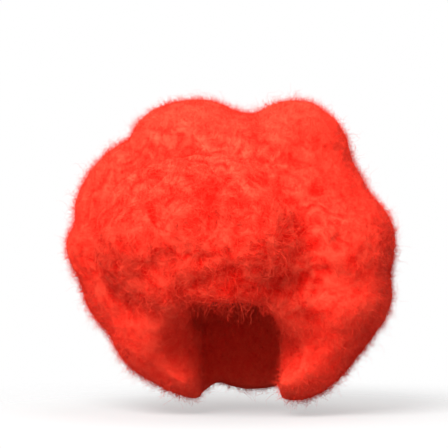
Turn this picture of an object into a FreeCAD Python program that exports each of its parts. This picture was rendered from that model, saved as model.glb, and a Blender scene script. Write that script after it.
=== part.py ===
import FreeCAD, Part
import math
import os

# Costume wig: a netted cap with sewn tapes and weft tracks, two adjuster straps, and a big teased afro.
# Frame: the origin is the middle of the head's girth plane, +Z up, the face looks along -Y, and the
# wearer's left is +X. Millimetres.

V = FreeCAD.Vector
UP = V(0, 0, 1)

# ---- driving dimensions: the head the cap fits -------------------------------------------------
HEAD_HALF_WIDTH = 77.0
HEAD_HALF_LENGTH = 97.0
CROWN_HEIGHT = 98.0

# ---- cap layers, as distances outward from the head --------------------------------------------
BAND_THICK = 1.0
NET_THICK = 0.6
TRACK_THICK = 1.6
HAIR_GAP = 0.3

# ---- cap edge, seen from the side (Y forward is negative) ---------------------------------------
HAIRLINE_Z = 48.0
HAIRLINE_CORNER_Y = -72.0
BAND_WIDTH = 12.0
EAR_Y = 5.0
EAR_Z = -22.0
EAR_RADIUS = 26.0
EAR_BAND_WIDTH = 11.0
TAB_FRONT_Y = -50.0
TAB_TOP_Z = 5.0
TAB_BOTTOM_Z = -28.0
TAB_SLANT = 6.0
NAPE_BOTTOM_Z = -72.0
NAPE_TOP_Z = -46.0
TAPE_WIDTH = 10.0
ELASTIC_WIDTH = 6.0
ELASTIC_THICK = 0.8

# ---- weft tracks -------------------------------------------------------------------------------
TRACK_COUNT = 12
TRACK_FIRST_POLAR = 20.0
TRACK_STEP_POLAR = 10.0
TRACK_HALF_WIDTH_POLAR = 1.0
CROWN_PATCH_RADIUS = 22.0

# ---- adjuster straps, hooks and loops: azimuth is about Z from +X, and the back is at 90 --------
STRAP_Z = -53.0
STRAP_HEIGHT = 9.0
STRAP_START = 34.0
STRAP_END = 61.5
STRAP_THICK = 1.2
STRAP_INSET = 1.2
FOLD_RADIUS = 1.6
PIN_RADIUS = 0.95
PIN_CLEARANCE = 0.06
HOOK_THICK = 1.0
HOOK_HALF_WIDTH = 4.0
HOOK_ARM = 1.4
ARM_GAP = 0.5
PRONG_LENGTH = 1.6
PRONG_WIDTH = 3.0
LOOP_START = 64.5
LOOP_COUNT = 3
LOOP_WINDOW = 4.0
LOOP_BAR = 1.6
LOOP_HEIGHT = 12.0
LOOP_WINDOW_HEIGHT = 6.8
LOOP_THICK = 0.7
LOOP_STANDOFF = 0.9
HOOKED_LOOP = 1
PRONG_TIP_INSET = 0.6
TACK_LENGTH = 1.6
TACK_COUNT = 3

# ---- hair --------------------------------------------------------------------------------------
HAIR_HALF_WIDTH = 190.0
HAIR_HALF_DEPTH = 172.0
HAIR_HALF_HEIGHT = 168.0
HAIR_CENTRE = V(-22, 18, -2)
# Lumps that swell out of the main ball of hair: the centre, then the half width, depth and height.
HAIR_LUMPS = (
    ("top right", V(-62, -5, 102), 84, 92, 80),
    ("top left", V(64, 0, 100), 72, 84, 80),
    ("fringe", V(-36, -104, 12), 126, 84, 98),
    ("upper side right", V(-113, 0, 42), 94, 112, 94),
    ("side right", V(-112, 0, -2), 106, 125, 72),
    ("upper side left", V(70, 0, 62), 84, 100, 60),
    ("side left", V(100, 0, 2), 88, 112, 84),
    ("lower side left", V(88, 0, -56), 96, 116, 74),
    ("jaw right", V(-87, 0, -86), 80, 110, 84),
    ("jaw left", V(96, 0, -84), 66, 104, 66),
    ("shoulder right", V(-62, 0, -110), 62, 104, 76),
    ("shoulder left", V(66, 0, -98), 76, 112, 88),
    ("nape", V(0, 88, -84), 104, 92, 98),
)
CROWN_CONE_POLAR = 48.0
LOWER_SPLIT_Z = -64.0
NECK_RADIUS = 52.0
NECK_Y = 12.0
NECK_TOP_Z = -44.0
FACE_CENTRE = V(0, -22, -50)
FACE_HALF_WIDTH = 64.0
FACE_HALF_DEPTH = 84.0
FACE_HALF_HEIGHT = 84.0
FACE_OPENING_HALF_WIDTH = 49.0
FRINGE_BOTTOM_Z = -64.0
# The hair beside the face rounds away from the opening, cut by a wide ball.
FLARE_CENTRE = V(0, -200, -128)
FLARE_HALF_WIDTH = 104.0
FLARE_HALF_DEPTH = 185.0
FLARE_HALF_HEIGHT = 66.0

# Hair sections as they are gathered: azimuth about Z from +X, so the face is at 270 and the back at 90.
CROWN_SECTIONS = (
    ("hair_crown_back_left", 0, 90),
    ("hair_crown_back_right", 90, 180),
    ("hair_crown_front_right", 180, 270),
    ("hair_crown_front_left", 270, 360),
)
MIDDLE_SECTIONS = (
    ("hair_fringe", 232, 308),
    ("hair_temple_left", 308, 350),
    ("hair_side_left", 350, 395),
    ("hair_back_left", 35, 90),
    ("hair_back_right", 90, 145),
    ("hair_side_right", 145, 190),
    ("hair_temple_right", 190, 232),
)
LOWER_SECTIONS = (
    ("hair_cheek_left", 270, 350),
    ("hair_shoulder_left", 350, 415),
    ("hair_nape", 55, 125),
    ("hair_shoulder_right", 125, 190),
    ("hair_cheek_right", 190, 270),
)

# Longer than the wig in every direction: the size of the blocks and wedges that cut it up.
REACH = 400.0


def ellipsoid(centre, half_x, half_y, half_z):
    """A solid ellipsoid with the given half sizes, its poles on X and its seam underneath."""
    scale = FreeCAD.Matrix()
    scale.scale(V(half_x, half_y, half_z))
    ball = Part.makeSphere(1.0)
    ball.rotate(V(0, 0, 0), V(0, 1, 0), 90)
    solid = ball.transformGeometry(scale)
    solid.translate(centre)
    return solid


def head(offset):
    """The head's form, grown by offset all over."""
    return ellipsoid(V(0, 0, 0), HEAD_HALF_WIDTH + offset, HEAD_HALF_LENGTH + offset, CROWN_HEIGHT + offset)


def layer(inner, outer):
    """The thin dome between two offsets from the head."""
    return head(outer).cut(head(inner))


def box(x0, x1, y0, y1, z0, z1):
    """An axis-aligned block between two corners."""
    return Part.makeBox(x1 - x0, y1 - y0, z1 - z0, V(x0, y0, z0))


def side_profile(points, x0=-REACH, x1=REACH):
    """A prism along X whose outline is drawn in the side view as (y, z) points."""
    corners = [V(x0, y, z) for y, z in points]
    face = Part.Face(Part.makePolygon(corners + [corners[0]]))
    return face.extrude(V(x1 - x0, 0, 0))


def ear_cylinder(radius):
    """A cylinder along X through both ears."""
    return Part.makeCylinder(radius, 2 * REACH, V(-REACH, EAR_Y, EAR_Z), V(1, 0, 0))


def sector(start, end, z0, z1):
    """A wedge about Z between two azimuths and two heights."""
    wedge = Part.makeCylinder(REACH, z1 - z0, V(0, 0, z0), UP, end - start)
    wedge.rotate(V(0, 0, 0), UP, start)
    return wedge


def half(side):
    """The half space on the wearer's left (+1) or right (-1)."""
    if side > 0:
        return box(0, REACH, -REACH, REACH, -REACH, REACH)
    return box(-REACH, 0, -REACH, REACH, -REACH, REACH)


def mirrored(shape):
    """The same piece on the other side of the head."""
    return shape.mirror(V(0, 0, 0), V(1, 0, 0))


def only_solid(shape):
    """The shape as one clean solid or a group of solids."""
    solids = shape.removeSplitter().Solids
    return solids[0] if len(solids) == 1 else Part.makeCompound(solids)


# ---- the cap -----------------------------------------------------------------------------------
EAR_FRONT_Y = EAR_Y - EAR_RADIUS
EAR_BACK_Y = EAR_Y + EAR_RADIUS
NET_OFFSET = BAND_THICK
TRACK_OFFSET = NET_OFFSET + NET_THICK
HAIR_OFFSET = TRACK_OFFSET + TRACK_THICK + HAIR_GAP


def cap_region():
    """Everything above the cap's edge, from hairline to nape, without the ears."""
    outline = [
        (-REACH, HAIRLINE_Z),
        (HAIRLINE_CORNER_Y, HAIRLINE_Z),
        (TAB_FRONT_Y, TAB_TOP_Z),
        (TAB_FRONT_Y + TAB_SLANT, TAB_BOTTOM_Z),
        (EAR_FRONT_Y, TAB_BOTTOM_Z),
        (EAR_FRONT_Y, EAR_Z),
        (EAR_BACK_Y, EAR_Z),
        (EAR_BACK_Y, NAPE_BOTTOM_Z),
        (REACH, NAPE_BOTTOM_Z),
        (REACH, REACH),
        (-REACH, REACH),
    ]
    return side_profile(outline).cut(ear_cylinder(EAR_RADIUS))


def band(region):
    """A piece of the sewn inner band within a region."""
    return layer(0.0, BAND_THICK).common(region)


def forehead_band_region():
    return box(-REACH, REACH, -REACH, HAIRLINE_CORNER_Y + BAND_WIDTH, HAIRLINE_Z, HAIRLINE_Z + BAND_WIDTH)


def temple_band_region():
    return side_profile([
        (HAIRLINE_CORNER_Y, HAIRLINE_Z),
        (HAIRLINE_CORNER_Y + BAND_WIDTH, HAIRLINE_Z),
        (TAB_FRONT_Y + BAND_WIDTH, TAB_TOP_Z),
        (TAB_FRONT_Y, TAB_TOP_Z),
    ])


def ear_tab_region():
    tab = side_profile([
        (TAB_FRONT_Y, TAB_TOP_Z),
        (EAR_Y, TAB_TOP_Z),
        (EAR_FRONT_Y, EAR_Z),
        (EAR_FRONT_Y, TAB_BOTTOM_Z),
        (TAB_FRONT_Y + TAB_SLANT, TAB_BOTTOM_Z),
    ])
    return tab.cut(ear_cylinder(EAR_RADIUS + EAR_BAND_WIDTH))


def ear_band_region():
    ring = ear_cylinder(EAR_RADIUS + EAR_BAND_WIDTH).cut(ear_cylinder(EAR_RADIUS))
    return ring.common(box(-REACH, REACH, -REACH, REACH, EAR_Z, REACH))


def behind_ear_region():
    inner = EAR_BACK_Y + EAR_BAND_WIDTH
    return box(-REACH, REACH, EAR_BACK_Y, inner, NAPE_TOP_Z, EAR_Z)


def nape_band_region():
    return box(-REACH, REACH, EAR_BACK_Y, REACH, NAPE_BOTTOM_Z, NAPE_TOP_Z)


def crown_tape_region():
    ear_band_top = EAR_Z + EAR_RADIUS + EAR_BAND_WIDTH
    low = box(-REACH, REACH, EAR_Y - TAPE_WIDTH / 2, EAR_Y + TAPE_WIDTH / 2, 0, REACH)
    return low.cut(ear_cylinder(ear_band_top - EAR_Z))


def front_tape_region():
    low = HAIRLINE_Z + BAND_WIDTH
    return box(-TAPE_WIDTH / 2, TAPE_WIDTH / 2, -REACH, EAR_Y - TAPE_WIDTH / 2, low, REACH)


def back_tape_region():
    return box(-TAPE_WIDTH / 2, TAPE_WIDTH / 2, EAR_Y + TAPE_WIDTH / 2, REACH, NAPE_TOP_Z, REACH)


def nape_elastic():
    hem = box(-REACH, REACH, EAR_BACK_Y, REACH, NAPE_BOTTOM_Z, NAPE_BOTTOM_Z + ELASTIC_WIDTH)
    return layer(-ELASTIC_THICK, 0.0).common(hem)


def cap_net():
    return layer(NET_OFFSET, TRACK_OFFSET).common(cap_region())


def weft_track(polar, region):
    """One sewn ring of hair weft, at a polar angle from the crown."""
    height = CROWN_HEIGHT + TRACK_OFFSET
    top = height * math.cos(math.radians(polar - TRACK_HALF_WIDTH_POLAR))
    bottom = height * math.cos(math.radians(polar + TRACK_HALF_WIDTH_POLAR))
    ring = layer(TRACK_OFFSET, TRACK_OFFSET + TRACK_THICK)
    return ring.common(box(-REACH, REACH, -REACH, REACH, bottom, top)).common(region)


def track_region():
    """The cap without its ear tabs, which carry no hair."""
    return cap_region().cut(box(-REACH, REACH, -REACH, EAR_Y, -REACH, TAB_TOP_Z))


def crown_patch():
    """The round closure on top where the last weft is coiled and sewn down."""
    column = Part.makeCylinder(CROWN_PATCH_RADIUS, REACH, V(0, 0, 0), UP)
    return layer(TRACK_OFFSET, TRACK_OFFSET + TRACK_THICK).common(column)


def cap_pieces():
    region = track_region()
    pieces = {
        "cap_net": cap_net(),
        "forehead_band": band(forehead_band_region()),
        "nape_band": band(nape_band_region()),
        "nape_elastic": nape_elastic(),
        "crown_tape": band(crown_tape_region()),
        "front_center_tape": band(front_tape_region()),
        "back_center_tape": band(back_tape_region()),
        "crown_patch": crown_patch(),
    }
    for name, part_of_cap in (
        ("temple_band", temple_band_region()),
        ("ear_tab", ear_tab_region()),
        ("ear_band", ear_band_region()),
        ("nape_side_band", behind_ear_region()),
    ):
        both = band(part_of_cap)
        pieces["left_" + name] = both.common(half(1))
        pieces["right_" + name] = both.common(half(-1))
    for number in range(TRACK_COUNT):
        polar = TRACK_FIRST_POLAR + number * TRACK_STEP_POLAR
        pieces["weft_track_%02d" % (number + 1)] = weft_track(polar, region)
    return pieces


# ---- the adjusters at the nape -----------------------------------------------------------------
def on_cap(azimuth, z, offset):
    """The point at an azimuth and height on the head's form grown by offset."""
    a = HEAD_HALF_WIDTH + offset
    b = HEAD_HALF_LENGTH + offset
    c = CROWN_HEIGHT + offset
    level = math.sqrt(1 - (z / c) ** 2)
    cos_az = math.cos(math.radians(azimuth))
    sin_az = math.sin(math.radians(azimuth))
    radius = level / math.sqrt((cos_az / a) ** 2 + (sin_az / b) ** 2)
    return V(radius * cos_az, radius * sin_az, z)


def outward(point):
    """The direction out of the head's form at a point on it."""
    normal = V(point.x / HEAD_HALF_WIDTH ** 2, point.y / HEAD_HALF_LENGTH ** 2, point.z / CROWN_HEIGHT ** 2)
    return normal.normalize()


FOLD_INSET = STRAP_INSET + STRAP_THICK + FOLD_RADIUS / 2
LOOP_PITCH = LOOP_WINDOW + LOOP_BAR
PRONG_AZIMUTH = LOOP_START + LOOP_BAR + LOOP_WINDOW / 2 + HOOKED_LOOP * LOOP_PITCH


def hook_frame():
    """The hook's own axes: along it, inward from the cap, and across it along the hinge pin."""
    start = on_cap(STRAP_END, STRAP_Z, -FOLD_INSET)
    end = on_cap(PRONG_AZIMUTH, STRAP_Z, -FOLD_INSET)
    along = end - start
    length = along.Length
    along = along.normalize()
    out = outward(on_cap((STRAP_END + PRONG_AZIMUTH) / 2, STRAP_Z, 0.0))
    inward = (along * along.dot(out) - out).normalize()
    across = along.cross(inward)
    return start, along, inward, across, length


def placed(local):
    """A copy of a piece, moved from the hook's own axes to its place in the cap."""
    start, along, inward, across, _ = hook_frame()
    matrix = FreeCAD.Matrix(
        along.x, inward.x, across.x, start.x,
        along.y, inward.y, across.y, start.y,
        along.z, inward.z, across.z, start.z,
        0, 0, 0, 1,
    )
    copy = local.copy()
    copy.Placement = FreeCAD.Placement(matrix)
    return copy


def pin_along(radius, half_length):
    """A round bar about the hook's hinge line, in the hook's own axes."""
    return Part.makeCylinder(radius, 2 * half_length, V(0, 0, -half_length), UP)


def strap():
    """An elastic strap along the nape, with its free end folded round the hook's bar."""
    low = STRAP_Z - STRAP_HEIGHT / 2
    high = STRAP_Z + STRAP_HEIGHT / 2
    ribbon = layer(-STRAP_INSET - STRAP_THICK, -STRAP_INSET)
    ribbon = ribbon.common(sector(STRAP_START, STRAP_END, low, high))
    fold = placed(pin_along(FOLD_RADIUS, STRAP_HEIGHT / 2))
    eye = placed(pin_along(PIN_RADIUS + PIN_CLEARANCE, STRAP_HEIGHT))
    return ribbon.fuse(fold).cut(eye)


def hook():
    """A flat moulded hook: a bar in the strap's fold, two arms, a plate and a prong through a loop."""
    _, _, _, across, length = hook_frame()
    arm_inner = STRAP_HEIGHT / 2 / across.z + ARM_GAP
    arm_outer = arm_inner + HOOK_ARM
    arms_end = FOLD_RADIUS + ARM_GAP + HOOK_ARM
    plate_start = FOLD_RADIUS + ARM_GAP
    half_thick = HOOK_THICK / 2
    tip = FOLD_INSET - PRONG_TIP_INSET
    bar = pin_along(PIN_RADIUS, arm_outer)
    arms = [
        box(0, arms_end, -half_thick, half_thick, arm_inner, arm_outer),
        box(0, arms_end, -half_thick, half_thick, -arm_outer, -arm_inner),
    ]
    bridge = box(plate_start, arms_end, -half_thick, half_thick, -arm_outer, arm_outer)
    plate = box(
        plate_start, length + PRONG_LENGTH / 2,
        -half_thick, half_thick,
        -HOOK_HALF_WIDTH, HOOK_HALF_WIDTH,
    )
    prong = box(
        length - PRONG_LENGTH / 2, length + PRONG_LENGTH / 2,
        -tip, half_thick,
        -PRONG_WIDTH / 2, PRONG_WIDTH / 2,
    )
    return placed(bar.multiFuse(arms + [bridge, plate, prong]))


def loop_strip():
    """A tape sewn down at both ends, with a row of windows that the hook's prong drops into."""
    low = STRAP_Z - LOOP_HEIGHT / 2
    high = STRAP_Z + LOOP_HEIGHT / 2
    end = LOOP_START + LOOP_COUNT * LOOP_PITCH + LOOP_BAR
    strip = layer(-LOOP_STANDOFF - LOOP_THICK, -LOOP_STANDOFF).common(sector(LOOP_START, end, low, high))
    for number in range(LOOP_COUNT):
        start = LOOP_START + LOOP_BAR + number * LOOP_PITCH
        window_low = STRAP_Z - LOOP_WINDOW_HEIGHT / 2
        window_high = STRAP_Z + LOOP_WINDOW_HEIGHT / 2
        strip = strip.cut(sector(start, start + LOOP_WINDOW, window_low, window_high))
    sewn = layer(-LOOP_STANDOFF, 0.0)
    first = sewn.common(sector(LOOP_START, LOOP_START + LOOP_BAR, low, high))
    last = sewn.common(sector(end - LOOP_BAR, end, low, high))
    return strip.multiFuse([first, last])


def bar_tacks():
    """The stitches that hold the strap's sewn end, side by side just behind its hinge line."""
    tacks = []
    low = STRAP_Z - STRAP_HEIGHT / 2
    pitch = STRAP_HEIGHT / TACK_COUNT
    inner = -STRAP_INSET - STRAP_THICK
    for number in range(TACK_COUNT):
        bottom = low + number * pitch + pitch / 4
        wedge = sector(STRAP_START - 2 * TACK_LENGTH, STRAP_START - TACK_LENGTH, bottom, bottom + pitch / 2)
        tacks.append(layer(inner, 0.0).common(wedge))
    return tacks


def adjuster_pieces():
    pieces = {}
    for name, piece in (
        ("adjuster_strap", strap()),
        ("adjuster_hook", hook()),
        ("loop_strip", loop_strip()),
    ):
        pieces["left_" + name] = piece
        pieces["right_" + name] = mirrored(piece)
    tacks = bar_tacks()
    pieces["strap_bar_tacks"] = Part.makeCompound(tacks + [mirrored(tack) for tack in tacks])
    return pieces


# ---- the hair ----------------------------------------------------------------------------------
def hair_form():
    """The teased hair's whole outer form: a ball with the lumps that swell out of it."""
    ball = ellipsoid(HAIR_CENTRE, HAIR_HALF_WIDTH, HAIR_HALF_DEPTH, HAIR_HALF_HEIGHT)
    lumps = [ellipsoid(centre, *half_sizes) for _, centre, *half_sizes in HAIR_LUMPS]
    return ball.multiFuse(lumps)


def wearer_space():
    """Where the head, face and neck are, and the open face below the fringe."""
    neck = Part.makeCylinder(NECK_RADIUS, REACH, V(0, NECK_Y, NECK_TOP_Z - REACH), UP)
    face = ellipsoid(FACE_CENTRE, FACE_HALF_WIDTH, FACE_HALF_DEPTH, FACE_HALF_HEIGHT)
    opening = box(
        -FACE_OPENING_HALF_WIDTH, FACE_OPENING_HALF_WIDTH,
        -REACH, 0,
        -REACH, FRINGE_BOTTOM_Z,
    )
    flare = ellipsoid(FLARE_CENTRE, FLARE_HALF_WIDTH, FLARE_HALF_DEPTH, FLARE_HALF_HEIGHT)
    return head(HAIR_OFFSET).multiFuse([neck, face, opening, flare])


def hair_regions():
    """Each hair section's share of the space around the head, by name."""
    radius = REACH * math.tan(math.radians(CROWN_CONE_POLAR))
    cone = Part.makeCone(0, radius, REACH, V(0, 0, 0), UP)
    regions = {}
    for name, start, end in CROWN_SECTIONS:
        regions[name] = cone.common(sector(start, end, 0, REACH))
    for name, start, end in MIDDLE_SECTIONS:
        regions[name] = sector(start, end, LOWER_SPLIT_Z, REACH).cut(cone)
    for name, start, end in LOWER_SECTIONS:
        regions[name] = sector(start, end, -REACH, LOWER_SPLIT_Z)
    return regions


def hair_pieces():
    hair = hair_form().cut(wearer_space())
    return {name: hair.common(region) for name, region in hair_regions().items()}


def main():
    os.makedirs("parts", exist_ok=True)
    pieces = {}
    pieces.update(cap_pieces())
    pieces.update(adjuster_pieces())
    pieces.update(hair_pieces())
    for name, shape in pieces.items():
        only_solid(shape).exportStep("parts/" + name + ".step")


main()
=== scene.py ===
import math

import bpy
import numpy as np
from mathutils import Matrix, Vector


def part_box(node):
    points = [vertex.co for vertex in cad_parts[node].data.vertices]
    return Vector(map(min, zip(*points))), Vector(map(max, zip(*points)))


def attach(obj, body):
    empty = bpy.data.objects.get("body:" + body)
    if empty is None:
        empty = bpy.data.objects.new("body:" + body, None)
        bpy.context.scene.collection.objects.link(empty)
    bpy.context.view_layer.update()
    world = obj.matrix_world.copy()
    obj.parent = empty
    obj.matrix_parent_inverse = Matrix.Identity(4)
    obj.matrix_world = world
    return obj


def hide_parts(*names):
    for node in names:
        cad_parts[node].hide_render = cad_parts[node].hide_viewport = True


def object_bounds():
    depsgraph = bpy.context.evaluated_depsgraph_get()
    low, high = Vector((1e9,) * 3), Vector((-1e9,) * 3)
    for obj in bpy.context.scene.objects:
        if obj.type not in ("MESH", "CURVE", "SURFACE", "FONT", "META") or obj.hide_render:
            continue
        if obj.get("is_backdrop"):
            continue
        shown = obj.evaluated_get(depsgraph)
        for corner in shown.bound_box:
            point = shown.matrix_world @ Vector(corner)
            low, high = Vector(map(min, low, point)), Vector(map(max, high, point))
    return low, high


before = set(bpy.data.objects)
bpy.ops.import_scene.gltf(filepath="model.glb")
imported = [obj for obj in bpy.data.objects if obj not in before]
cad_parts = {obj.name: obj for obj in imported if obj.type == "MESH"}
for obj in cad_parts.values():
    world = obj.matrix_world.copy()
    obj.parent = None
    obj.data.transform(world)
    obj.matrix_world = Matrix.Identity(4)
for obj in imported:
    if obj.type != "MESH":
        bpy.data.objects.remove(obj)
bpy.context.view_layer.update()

bl_info = {
    "name": "Costume Wig",
    "version": (1, 0, 0),
    "blender": (4, 5, 0),
    "location": "View3D > Sidebar > Wig",
    "description": "Builds a teased afro costume wig on its sewn, netted cap",
    "category": "Object",
}

MM = 0.001
HAIR_NODES = sorted(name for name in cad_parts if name.startswith("hair_"))
TRACK_NODES = sorted(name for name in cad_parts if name.startswith("weft_track_"))
SIDES = ("left", "right")

# The netting's outer face and the head's form under the bands, as half sizes of ellipsoids.
NET_THICK = 0.6 * MM
BAND_THICK = 1.0 * MM
NET_OUTER = Vector(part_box("cap_net")[1])
NET_MIDDLE = NET_OUTER - Vector([NET_THICK / 2] * 3)
HEAD = NET_OUTER - Vector([NET_THICK + BAND_THICK] * 3)
NECK_Y = 12 * MM
NECK_RADIUS = 52 * MM


# ---- settings a user would change ----------------------------------------------------------------
class WigHairSettings(bpy.types.PropertyGroup):
    """The teased hair: its colours, lumps and loose fibres."""
    colour: bpy.props.FloatVectorProperty(
        name="Hair colour", description="Colour of the lit fibres", subtype="COLOR", size=3,
        default=(0.92, 0.026, 0.013), min=0.0, max=1.0)
    # The deep colour is the dark end of the hair's tone: darker random tones, and painted shade in the
    # hollows between the tufts.
    deep_and_shade_colour: bpy.props.FloatVectorProperty(
        name="Deep and shade colour", description="Colour between the tufts", subtype="COLOR", size=3,
        default=(0.84, 0.008, 0.003), min=0.0, max=1.0)
    # The tip colour is the light end of the hair's tone: lighter random tones, and painted light on the tops
    # of the tufts.
    light_and_highlight_colour: bpy.props.FloatVectorProperty(
        name="Light and highlight colour", description="Colour of the light, frizzed ends", subtype="COLOR", size=3,
        default=(1.0, 0.075, 0.038), min=0.0, max=1.0)
    voxel: bpy.props.FloatProperty(
        name="Voxel size", description="Size of the remesh cells of the hair mass", unit="LENGTH",
        default=3.0 * MM)
    inset: bpy.props.FloatProperty(
        name="Inset", description="How far the mass lies inside the hair's outline", unit="LENGTH",
        default=1.5 * MM)
    fibre_width: bpy.props.FloatProperty(
        name="Fibre width", description="Width of a loose fibre at its root", unit="LENGTH",
        default=0.24 * MM)
    fibre_length: bpy.props.FloatProperty(
        name="Fibre length", description="Usual length of a loose fibre", unit="LENGTH",
        default=8.5 * MM)
    fibre_count: bpy.props.IntProperty(
        name="Fibres", description="Short loose fibres on the whole wig", default=80000, min=1000)
    wisp_count: bpy.props.IntProperty(
        name="Wisps", description="Long curled fibres on the whole wig", default=6500, min=100)
    swirl_count: bpy.props.IntProperty(
        name="Swirls", description="Light curled locks on the front of the hair", default=1500, min=100)


class WigCapSettings(bpy.types.PropertyGroup):
    """The sewn cap under the hair."""
    fabric_colour: bpy.props.FloatVectorProperty(
        name="Cap colour", description="Colour of the netting, bands and straps", subtype="COLOR", size=3,
        default=(0.018, 0.013, 0.013), min=0.0, max=1.0)
    weft_colour: bpy.props.FloatVectorProperty(
        name="Weft colour", description="Colour of the sewn hair wefts", subtype="COLOR", size=3,
        default=(0.42, 0.012, 0.008), min=0.0, max=1.0)
    net_strand: bpy.props.FloatProperty(
        name="Net strand", description="Thickness of a strand of the netting", unit="LENGTH",
        default=0.5 * MM)
    thread: bpy.props.FloatProperty(
        name="Thread", description="Thickness of the sewing thread", unit="LENGTH", default=0.45 * MM)
    stitch: bpy.props.FloatProperty(
        name="Stitch", description="Length of one stitch", unit="LENGTH", default=2.6 * MM)
    stitch_gap: bpy.props.FloatProperty(
        name="Stitch gap", description="Gap between two stitches", unit="LENGTH", default=1.2 * MM)


class WigStudioSettings(bpy.types.PropertyGroup):
    """The camera and lights around the wig."""
    azimuth: bpy.props.FloatProperty(
        name="Azimuth", description="Angle of the camera round the wig", subtype="ANGLE",
        default=math.radians(11.0))
    distance: bpy.props.FloatProperty(
        name="Distance", description="Distance from the camera to the wig", unit="LENGTH", default=2.6)
    frame_width: bpy.props.FloatProperty(
        name="Framed width", description="Width of the view at the wig", unit="LENGTH", default=0.5466)
    aim: bpy.props.FloatVectorProperty(
        name="Aim", description="Point the camera looks at: right of the view's middle, and height",
        unit="LENGTH", size=2, default=(-23 * MM, 28.5 * MM))
    key_power: bpy.props.FloatProperty(
        name="Key power", description="Power of the light above the camera, in watts", default=85.0)
    top_power: bpy.props.FloatProperty(
        name="Top power", description="Power of the light overhead, in watts", default=10.0)


# ---- shared helpers ------------------------------------------------------------------------------
def deselect():
    """Leave object mode's selection empty."""
    for chosen in bpy.context.selected_objects:
        chosen.select_set(False)


def only(piece):
    """Make a piece the one selected and active object."""
    deselect()
    piece.select_set(True)
    bpy.context.view_layer.objects.active = piece


def named_piece(name):
    """Name the active object and its mesh."""
    piece = bpy.context.view_layer.objects.active
    piece.name = name
    piece.data.name = name
    return piece


def apply_modifiers(piece):
    """Apply every modifier on a piece, first to last."""
    only(piece)
    for modifier in list(piece.modifiers):
        bpy.ops.object.modifier_apply(modifier=modifier.name)


def ellipsoid(name, half_sizes):
    """A new ellipsoid of even triangles round the origin."""
    deselect()
    bpy.ops.mesh.primitive_ico_sphere_add(subdivisions=5, radius=1.0)
    piece = named_piece(name)
    piece.scale = half_sizes
    bpy.ops.object.transform_apply(location=False, rotation=False, scale=True)
    return piece


def dress(node, material):
    """Give a CAD node's object a material."""
    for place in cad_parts[node].material_slots:
        place.material = material


def finish_piece(piece, slot, *nodes):
    """Ride the cap and stand for the named nodes; the slot argument is not used."""
    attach(piece, "cap")
    if nodes:
        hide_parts(*nodes)


def vertex_array(mesh):
    """The places of a mesh's points, one row each."""
    points = np.empty(len(mesh.vertices) * 3)
    mesh.vertices.foreach_get("co", points)
    return points.reshape(-1, 3)


class Graph:
    """A node tree, built one node at a time from named inputs that are values or other sockets."""

    def __init__(self, tree):
        self.tree = tree
        tree.nodes.clear()

    def add(self, kind, inputs=None, **settings):
        """A new node with its settings, and values or sockets for its inputs."""
        node = self.tree.nodes.new(kind)
        for name, value in settings.items():
            setattr(node, name, value)
        for name, value in (inputs or {}).items():
            self.join(value, node.inputs[name])
        return node

    def join(self, value, socket):
        """Link another socket to an input, or set the input's value."""
        if isinstance(value, bpy.types.NodeSocket):
            self.tree.links.new(value, socket)
        else:
            socket.default_value = value

    def maths(self, operation, *values):
        node = self.add("ShaderNodeMath", operation=operation)
        for number, value in enumerate(values):
            self.join(value, node.inputs[number])
        return node.outputs[0]

    def vector(self, operation, *values, scale=None):
        node = self.add("ShaderNodeVectorMath", operation=operation)
        for number, value in enumerate(values):
            self.join(value, node.inputs[number])
        if scale is not None:
            self.join(scale, node.inputs["Scale"])
        return node.outputs["Value"] if operation in ("LENGTH", "DOT_PRODUCT") else node.outputs[0]


def new_group(name, kind, inputs, outputs):
    """An empty node group with its sockets, and a graph to fill it; None for the graph if it exists."""
    if name in bpy.data.node_groups:
        return bpy.data.node_groups[name], None
    tree = bpy.data.node_groups.new(name, kind)
    for label, socket in inputs:
        tree.interface.new_socket(label, in_out="INPUT", socket_type="NodeSocket" + socket)
    for label, socket in outputs:
        tree.interface.new_socket(label, in_out="OUTPUT", socket_type="NodeSocket" + socket)
    return tree, Graph(tree)


# ---- materials -----------------------------------------------------------------------------------
def new_material(name):
    """A material with a Principled shader, and the graph to feed it."""
    material = bpy.data.materials.new(name)
    material.use_nodes = True
    graph = Graph(material.node_tree)
    shader = graph.add("ShaderNodeBsdfPrincipled")
    output = graph.add("ShaderNodeOutputMaterial")
    graph.join(shader.outputs[0], output.inputs["Surface"])
    return material, graph, shader


def set_finish(shader, **values):
    """Set the shader's plain numbers by socket name, with underscores for spaces."""
    for name, value in values.items():
        shader.inputs[name.replace("_", " ")].default_value = value


def hair_tone_group():
    """Node group: the hair's tone from swirls, tufts and fine crimp, with painted shade and painted light
    from the height of the relief: darker in the hollows, lighter on the tufts.
    """
    tree, graph = new_group(
        "Hair tone", "ShaderNodeTree",
        (("Vector", "Vector"), ("Relief shade", "Float"), ("Liveliness", "Float"), ("Crimp", "Float")),
        (("Tone", "Float"),))
    if graph is None:
        return tree
    entry = graph.add("NodeGroupInput").outputs
    swirl = graph.add("ShaderNodeTexNoise", {
        "Vector": entry["Vector"], "Scale": 34.0, "Detail": 3.0, "Distortion": 1.8})
    tuft = graph.add("ShaderNodeTexNoise", {
        "Vector": entry["Vector"], "Scale": 120.0, "Detail": 4.0, "Distortion": 1.2})
    crimp = graph.add("ShaderNodeTexNoise", {
        "Vector": entry["Vector"], "Scale": 620.0, "Detail": 3.0, "Distortion": 0.6})
    swirled = graph.maths("SUBTRACT", swirl.outputs["Fac"], 0.5)
    tone = graph.maths("MULTIPLY_ADD", entry["Liveliness"], 1.2, 0.25)
    tone = graph.maths("MULTIPLY_ADD", swirled, tone, 0.1)
    tone = graph.maths("MULTIPLY_ADD", tuft.outputs["Fac"], 0.34, tone)
    tone = graph.maths("MULTIPLY_ADD", crimp.outputs["Fac"], entry["Crimp"], tone)
    # Painted shade and light: the height of the relief darkens the hollows and lightens the tufts.
    tone = graph.maths("MULTIPLY_ADD", entry["Relief shade"], 0.42, tone)
    graph.add("NodeGroupOutput", {"Tone": tone})
    return tree


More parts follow.
